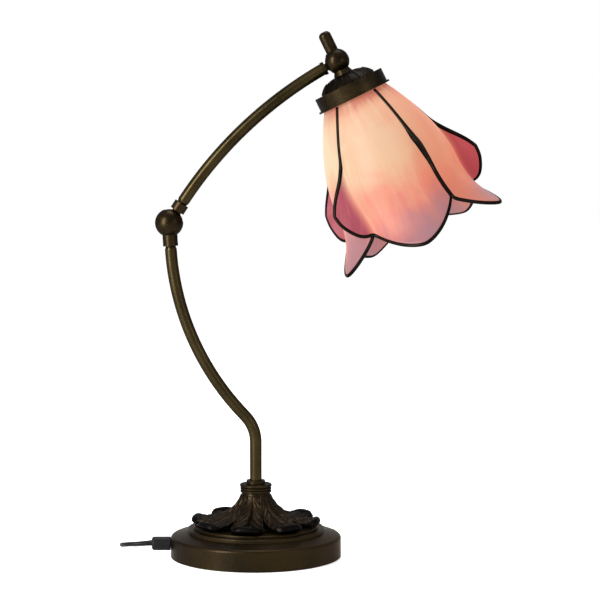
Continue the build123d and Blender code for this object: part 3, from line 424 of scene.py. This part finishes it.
# Lead bead: proud of the glass above the lobe, and swollen with solder half way down some seams
LEAD_RADIUS = 1.6
LEAD_TOP = 1.0
LEAD_STOP = 2.0
LEAD_PROUD = 0.8
PROUD_FADE = 24.0
LEAD_SWELL = (0.15, 0.75, 0.2, 0.3, 0.15)
SWELL_MIDDLE = 58.0
SWELL_REACH = 17.0
SEAM_OVERLAP = 4.0
EDGE_POINTS = 18
END_POINTS = 30
SEAM_POINTS = 11


def ease(value):
    """Zero up to 0, one from 1, with an even rise between."""
    t = min(max(value, 0.0), 1.0)
    return t * t * (3 - 2 * t)


def belly_radius(s):
    """Radius of the sheet's middle at a distance down from the collar."""
    shoulder = 1 - (1 - min(s / SHOULDER_END, 1.0)) ** SHOULDER_POWER
    flare = max(0.0, (s - FLARE_START) / (SHEET_LENGTH - FLARE_START)) ** FLARE_POWER
    return COLLAR_RADIUS + SHOULDER_OUT * shoulder + FLARE_OUT * flare


def seam_shift(s, number):
    """Angle by which a petal's right seam lies to the left of its straight line."""
    return SEAM_SWINGS[number - 1] * math.sin(math.pi * min(max(s / SEAM_RUN, 0.0), 1.0))


def section(s, number):
    """Belly arc up to the crease, crease radius, and whole length of a petal's section."""
    turn = LOBE_TURNS[number - 1]
    rise = LOBE_HEIGHT * ease((s - LOBE_START) / (LOBE_FULL - LOBE_START))
    crease = min(CREASE, CREASE_SHARE * rise)
    arc = 2 * math.pi / PETAL_COUNT + seam_shift(s, number - 1) - seam_shift(s, number)
    flat = belly_radius(s) * arc - crease
    straight = (rise - crease * (1 - math.cos(turn))) / math.sin(turn)
    return flat, crease, flat + turn * crease + straight


def sheet_point(s, run, number, proud=0.0):
    """Point of a petal in the head's frame: along the belly, round the crease and out along the lobe."""
    flat, crease, _ = section(s, number)
    turn = LOBE_TURNS[number - 1]
    middle = belly_radius(s)
    seam = math.pi / PETAL_COUNT - seam_shift(s, number)
    if run <= flat:
        radius = middle
        angle = seam - run / middle
    else:
        bend = min((run - flat) / crease, turn) if crease else turn
        straight = run - flat - bend * crease
        radius = middle + crease * (1 - math.cos(bend)) + straight * math.sin(turn)
        across = crease * math.sin(bend) + straight * math.cos(turn)
        angle = seam - flat / middle - across / radius
    radius += proud
    return Vector((radius * math.sin(angle), -radius * math.cos(angle), -COLLAR_BOTTOM - s)) * MM


def sheet_end(share):
    """How far down the petal reaches, at a share of its section."""
    root = SHEET_LENGTH - TIP_DROP
    fold = 1 - LOBE_SHARE
    if share > fold:
        return root - (root - LOBE_CORNER) * ((share - fold) / LOBE_SHARE) ** LOBE_POWER
    side = TIP_SHARE if share < TIP_SHARE else fold - TIP_SHARE
    return SHEET_LENGTH - TIP_DROP * abs((share - TIP_SHARE) / side) ** TIP_POWER


def petal_turn(number):
    """Place of a petal on the head."""
    turn = Matrix.Rotation(2 * math.pi / PETAL_COUNT * (number - 1), 4, "Z")
    return Matrix.Translation(HEAD) @ Matrix.Rotation(-HEAD_TILT, 4, "Y") @ turn


def petal(number):
    """Petal of bent glass: a flat grid curved onto its sheet, with the thickness of the glass."""
    bm = bmesh.new()
    bmesh.ops.create_grid(bm, x_segments=SHEET_COLUMNS, y_segments=SHEET_ROWS, size=0.5)
    sheet = bm.loops.layers.uv.new("sheet")
    lobe = bm.verts.layers.float.new("lobe")
    place = petal_turn(number)
    spots = {}
    bm.verts.index_update()
    for vert in bm.verts:
        share = vert.co.x + 0.5
        s = SHEET_TOP + (sheet_end(share) - SHEET_TOP) * (vert.co.y + 0.5)
        flat, _, whole = section(s, number)
        spots[vert.index] = (share, s / SHEET_LENGTH)
        vert[lobe] = max(0.0, share * whole - flat) / LOBE_HEIGHT
        vert.co = place @ sheet_point(s, share * whole, number)
    for face in bm.faces:
        face.smooth = True
        for loop in face.loops:
            loop[sheet].uv = spots[loop.vert.index]
    mesh = bpy.data.meshes.new(f"bent_petal_{number}")
    bm.to_mesh(mesh)
    bm.free()
    mesh.materials.append(FINISHES["petal_glass"])
    piece = bpy.data.objects.new(f"bent_petal_{number}", mesh)
    scene.collection.objects.link(piece)
    wall = piece.modifiers.new("sheet_thickness", "SOLIDIFY")
    wall.thickness = SHEET_THICKNESS * MM
    wall.offset = 0
    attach(piece, "head")
    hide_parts(f"petal_{number}")


def petal_lead(number):
    """Round bead of lead down a petal's left edge, round its lobe, along its free end and up its seam."""
    place = petal_turn(number)
    route = []
    swell = []
    for step in range(EDGE_POINTS):
        s = LEAD_TOP + (LOBE_CORNER - LEAD_STOP - LEAD_TOP) * step / (EDGE_POINTS - 1)
        proud = LEAD_PROUD * (1 - ease((s - LOBE_START) / PROUD_FADE))
        route.append((s, section(s, number)[2], number, proud))
        swell.append(1 + LEAD_SWELL[number - 1] * math.exp(-((s - SWELL_MIDDLE) / SWELL_REACH) ** 2))
    for step in range(END_POINTS):
        share = 1 - step / (END_POINTS - 1)
        s = sheet_end(share)
        route.append((s, share * section(s, number)[2], number))
    seam_end = sheet_end(0)
    seam_rise = seam_end - LOBE_START + SEAM_OVERLAP
    for step in range(1, SEAM_POINTS + 1):
        route.append((seam_end - seam_rise * step / SEAM_POINTS, 0.0, number))
    swell += [1.0] * (len(route) - len(swell))
    spots = [place @ sheet_point(*spot) / MM for spot in route]
    bead = cord_curve(f"lead_bead_{number}", spots, LEAD_RADIUS * MM, swell)
    bead.data.materials.append(FINISHES["lead_came"])
    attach(bead, "head")
    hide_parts(f"petal_lead_{number}")


for number in range(1, PETAL_COUNT + 1):
    petal(number)
    petal_lead(number)


# Leaf crown on the base, in millimetres: the leaves' middle line from the neck out to the turned-up tip
CROWN_LINE = [
    (12.6, 56.0),
    (15.5, 49.0),
    (20.5, 43.0),
    (28.0, 37.8),
    (37.5, 34.0),
    (46.5, 32.0),
    (53.0, 32.6),
    (57.2, 35.0),
]
CROWN_BELL = [(34.0, 28.4), (34.0, 30.0), (26.0, 35.0), (18.5, 41.5), (14.2, 48.5), (12.4, 57.9)]
BELL_STEPS = 72
WELD_DISTANCE = 0.001
LEAF_COUNT = 8
LEAF_FIRST = math.radians(-9)
LEAF_ROOT = 4.9
LEAF_WIDTH = 14.2
LEAF_WALL = 7.0
LEAF_ROWS = 40
LEAF_COLUMNS = 24
TIP_REACH = (47.5, 51.5)
VEIN_DEPTH = 1.3
RIB_DEPTH = 2.6
RIM_HEIGHT = 2.08
ARCH_DEPTH = 1.2

# Where a leaf's features start, end and fade, as shares of its length from the root
WIDEST_AT = 0.72
ROUND_FROM = 0.76
VEINS_FROM = 0.15
VEINS_TO = 0.86
VEINS_FADE = 0.1
ARCH_FULL = 0.5
ARCH_TO = 0.95
ARCH_FADE = 0.25
LIP_FROM = 0.74
LIP_RISE = 0.14
NOSE_FROM = 0.88
NOSE_LENGTH = 0.125

# Shape of the round end, the veins, the rib and rim, as shares of the half width, and the thickness
ROUND_POWER = 2.4
ROUND_LEAST = 0.12
VEIN_COUNT = 8
VEIN_SLANT = 2.2
RIB_WIDTH = 0.12
RIM_WIDTH = 0.1
LIP_THIN = 0.3
LIP_SIDES = 0.5
NOSE_LEAST = 0.02


def along_leaf(u):
    """Radius and height of the leaf's middle line, eased between its given spots."""
    spot = min(max(u, 0.0), 1.0) * (len(CROWN_LINE) - 1)
    index = min(int(spot), len(CROWN_LINE) - 2)
    before = Vector(CROWN_LINE[max(index - 1, 0)])
    here = Vector(CROWN_LINE[index])
    ahead = Vector(CROWN_LINE[index + 1])
    after = Vector(CROWN_LINE[min(index + 2, len(CROWN_LINE) - 1)])
    t = spot - index
    pull = (ahead - before) / 2
    push = (after - here) / 2
    return (here * (2 * t ** 3 - 3 * t ** 2 + 1) + pull * (t ** 3 - 2 * t ** 2 + t)
            + ahead * (3 * t ** 2 - 2 * t ** 3) + push * (t ** 3 - t ** 2))


def crown_leaf():
    """One cast leaf: a grid widened to a round end, veined, arched and thickened to a lip at its tip."""
    bm = bmesh.new()
    bmesh.ops.create_grid(bm, x_segments=LEAF_COLUMNS, y_segments=LEAF_ROWS, size=1.0)
    weights = {}
    bm.verts.index_update()
    for vert in bm.verts:
        v = vert.co.x
        u = (vert.co.y + 1) / 2
        radius, height = along_leaf(u)
        rounded = max(0.0, (u - ROUND_FROM) / (1 - ROUND_FROM)) ** ROUND_POWER
        width = LEAF_ROOT + (LEAF_WIDTH - LEAF_ROOT) * ease(u / WIDEST_AT)
        width *= math.sqrt(max(1 - rounded, ROUND_LEAST))
        inside = ease(u / VEINS_FROM) * ease((VEINS_TO - u) / VEINS_FADE)
        veins = abs(math.sin(math.pi * (VEIN_COUNT * u - VEIN_SLANT * abs(v)))) * VEIN_DEPTH
        rib = RIB_DEPTH * math.exp(-(v / RIB_WIDTH) ** 2)
        rim = RIM_HEIGHT * math.exp(-((1 - abs(v)) / RIM_WIDTH) ** 2)
        arch = -ARCH_DEPTH * v * v * ease(u / ARCH_FULL) * ease((ARCH_TO - u) / ARCH_FADE)
        nose = math.sqrt(max(1 - max(0.0, (u - NOSE_FROM) / NOSE_LENGTH) ** 2, NOSE_LEAST))
        thick = LIP_THIN + (1 - LIP_THIN) * ease((u - LIP_FROM) / LIP_RISE) * (1 - LIP_SIDES * v ** 4)
        weights[vert.index] = thick * nose
        raised = height + arch + inside * (veins - rib + rim)
        turn = v * width / max(radius, width)
        vert.co = Vector((radius * math.sin(turn), -radius * math.cos(turn), raised)) * MM
    bmesh.ops.recalc_face_normals(bm, faces=bm.faces)
    for face in bm.faces:
        face.smooth = True
    mesh = bpy.data.meshes.new("crown_leaf")
    bm.to_mesh(mesh)
    bm.free()
    leaf = bpy.data.objects.new("crown_leaf", mesh)
    scene.collection.objects.link(leaf)
    lip = leaf.vertex_groups.new(name="lip")
    for index, weight in weights.items():
        lip.add([index], weight, "REPLACE")
    wall = leaf.modifiers.new("wall", "SOLIDIFY")
    wall.thickness = LEAF_WALL * MM
    wall.offset = 0
    wall.vertex_group = "lip"
    rounding = leaf.modifiers.new("rounding", "SUBSURF")
    rounding.levels = 1
    rounding.render_levels = 1
    finished = bpy.data.meshes.new_from_object(leaf.evaluated_get(bpy.context.evaluated_depsgraph_get()))
    bpy.data.objects.remove(leaf)
    return finished


def leaf_bronze():
    """Cast brass leaves under antique patina: brown faces rubbed thin, and rolled tips near black."""
    material = bronze("cast_bronze_leaves", "#130F0A", "#241C13", "#3E3120", roughness=0.34, blotch=14.0)
    tree = material.node_tree
    shader = tree.nodes["Principled BSDF"]
    patina = shader.inputs["Base Color"].links[0].from_socket
    place = add(tree, "ShaderNodeTexCoord").outputs["Object"]
    plan = add(tree, "ShaderNodeVectorMath", {0: place}, operation="MULTIPLY", in_1=(1, 1, 0))
    reach = add(tree, "ShaderNodeVectorMath", {0: plan.outputs[0]}, operation="LENGTH")
    tip = add(tree, "ShaderNodeMapRange", {"Value": reach.outputs["Value"]},
              in_From_Min=TIP_REACH[0] * MM, in_From_Max=TIP_REACH[1] * MM)
    colour = add(tree, "ShaderNodeMix", {"Factor": tip.outputs[0], "A": patina}, data_type="RGBA",
                 in_B=linear("#0B0908"))
    tree.links.new(colour.outputs["Result"], shader.inputs["Base Color"])
    return material


def leaf_crown():
    """Cast crown: a ring of leaves over a turned bell."""
    leaf = crown_leaf()
    bm = bmesh.new()
    profile = [bm.verts.new(Vector((radius, 0, height)) * MM) for radius, height in CROWN_BELL]
    edges = [bm.edges.new(pair) for pair in zip(profile, profile[1:])]
    bmesh.ops.spin(bm, geom=profile + edges, axis=(0, 0, 1), cent=(0, 0, 0), angle=2 * math.pi,
                   steps=BELL_STEPS, use_merge=True)
    bmesh.ops.remove_doubles(bm, verts=bm.verts, dist=WELD_DISTANCE * MM)
    bmesh.ops.recalc_face_normals(bm, faces=bm.faces)
    for number in range(LEAF_COUNT):
        copy = leaf.copy()
        copy.transform(Matrix.Rotation(LEAF_FIRST + 2 * math.pi / LEAF_COUNT * number, 4, "Z"))
        bm.from_mesh(copy)
        bpy.data.meshes.remove(copy)
    for face in bm.faces:
        face.smooth = True
    mesh = bpy.data.meshes.new("cast_leaf_crown")
    bm.to_mesh(mesh)
    bm.free()
    mesh.materials.append(leaf_bronze())
    crown = bpy.data.objects.new("cast_leaf_crown", mesh)
    scene.collection.objects.link(crown)
    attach(crown, "base")
    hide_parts("leaf_crown")


leaf_crown()


# Pale floor, white surround and soft studio lamps, in metres and watts
FLOOR_SIZE = 6.0
FLOOR_GLOW = 0.7
SURROUND_LIGHT = 0.3
SURROUND_SEEN = 1.0


def floor_material():
    """Matt white floor that shows white to the camera and in reflections, with the lamp's shadow on it."""
    material, tree, shader = new_material("white_floor")
    path = add(tree, "ShaderNodeLightPath")
    shader.inputs["Base Color"].default_value = linear("#E8E6E3")
    shader.inputs["Roughness"].default_value = 0.9
    mirrored = add(tree, "ShaderNodeMath", operation="MAXIMUM",
                   links={0: path.outputs["Is Camera Ray"], 1: path.outputs["Is Glossy Ray"]})
    seen = add(tree, "ShaderNodeMath", {0: mirrored.outputs[0], 1: path.outputs["Is Transmission Ray"]},
               operation="MAXIMUM")
    glow = add(tree, "ShaderNodeMath", {0: seen.outputs[0]}, operation="MULTIPLY", in_1=FLOOR_GLOW)
    shader.inputs["Emission Color"].default_value = (1, 1, 1, 1)
    tree.links.new(glow.outputs[0], shader.inputs["Emission Strength"])
    return material


def floor():
    """Large plain floor under the lamp."""
    bm = bmesh.new()
    bmesh.ops.create_grid(bm, x_segments=1, y_segments=1, size=FLOOR_SIZE)
    mesh = bpy.data.meshes.new("floor")
    bm.to_mesh(mesh)
    bm.free()
    plane = bpy.data.objects.new("floor", mesh)
    mesh.materials.append(floor_material())
    scene.collection.objects.link(plane)


def surround():
    """White world, dimmer on what it lights than it looks."""
    world = bpy.data.worlds.new("white_surround")
    scene.world = world
    world.use_nodes = True
    tree = world.node_tree
    path = add(tree, "ShaderNodeLightPath")
    mirrored = add(tree, "ShaderNodeMath", operation="MAXIMUM",
                   links={0: path.outputs["Is Camera Ray"], 1: path.outputs["Is Glossy Ray"]})
    seen = add(tree, "ShaderNodeMath", {0: mirrored.outputs[0], 1: path.outputs["Is Transmission Ray"]},
               operation="MAXIMUM")
    strength = add(tree, "ShaderNodeMapRange", {"Value": seen.outputs[0]},
                   in_To_Min=SURROUND_LIGHT, in_To_Max=SURROUND_SEEN)
    back = tree.nodes["Background"]
    back.inputs["Color"].default_value = (1, 1, 1, 1)
    tree.links.new(strength.outputs[0], back.inputs["Strength"])


def soft_lamp(name, place, target, width, height, power):
    """Soft box aimed at a point."""
    light = bpy.data.lights.new(name, "AREA")
    light.shape = "RECTANGLE"
    light.size = width
    light.size_y = height
    light.energy = power
    obj = bpy.data.objects.new(name, light)
    obj.location = place
    obj.rotation_euler = (Vector(target) - Vector(place)).to_track_quat("-Z", "Y").to_euler()
    scene.collection.objects.link(obj)


floor()
surround()
soft_lamp("key_strip", place=(-1.35, -1.35, 0.85), target=(0, 0, 0.85), width=0.35, height=1.6, power=90)
soft_lamp("side_softbox", place=(1.3, -1.2, 0.7), target=(0, 0, 0.25), width=0.5, height=0.5, power=5)
soft_lamp("top_softbox", place=(0.1, 0.3, 1.7), target=(0, 0, 0.2), width=0.8, height=0.8, power=20)

scene.view_settings.view_transform = "Standard"
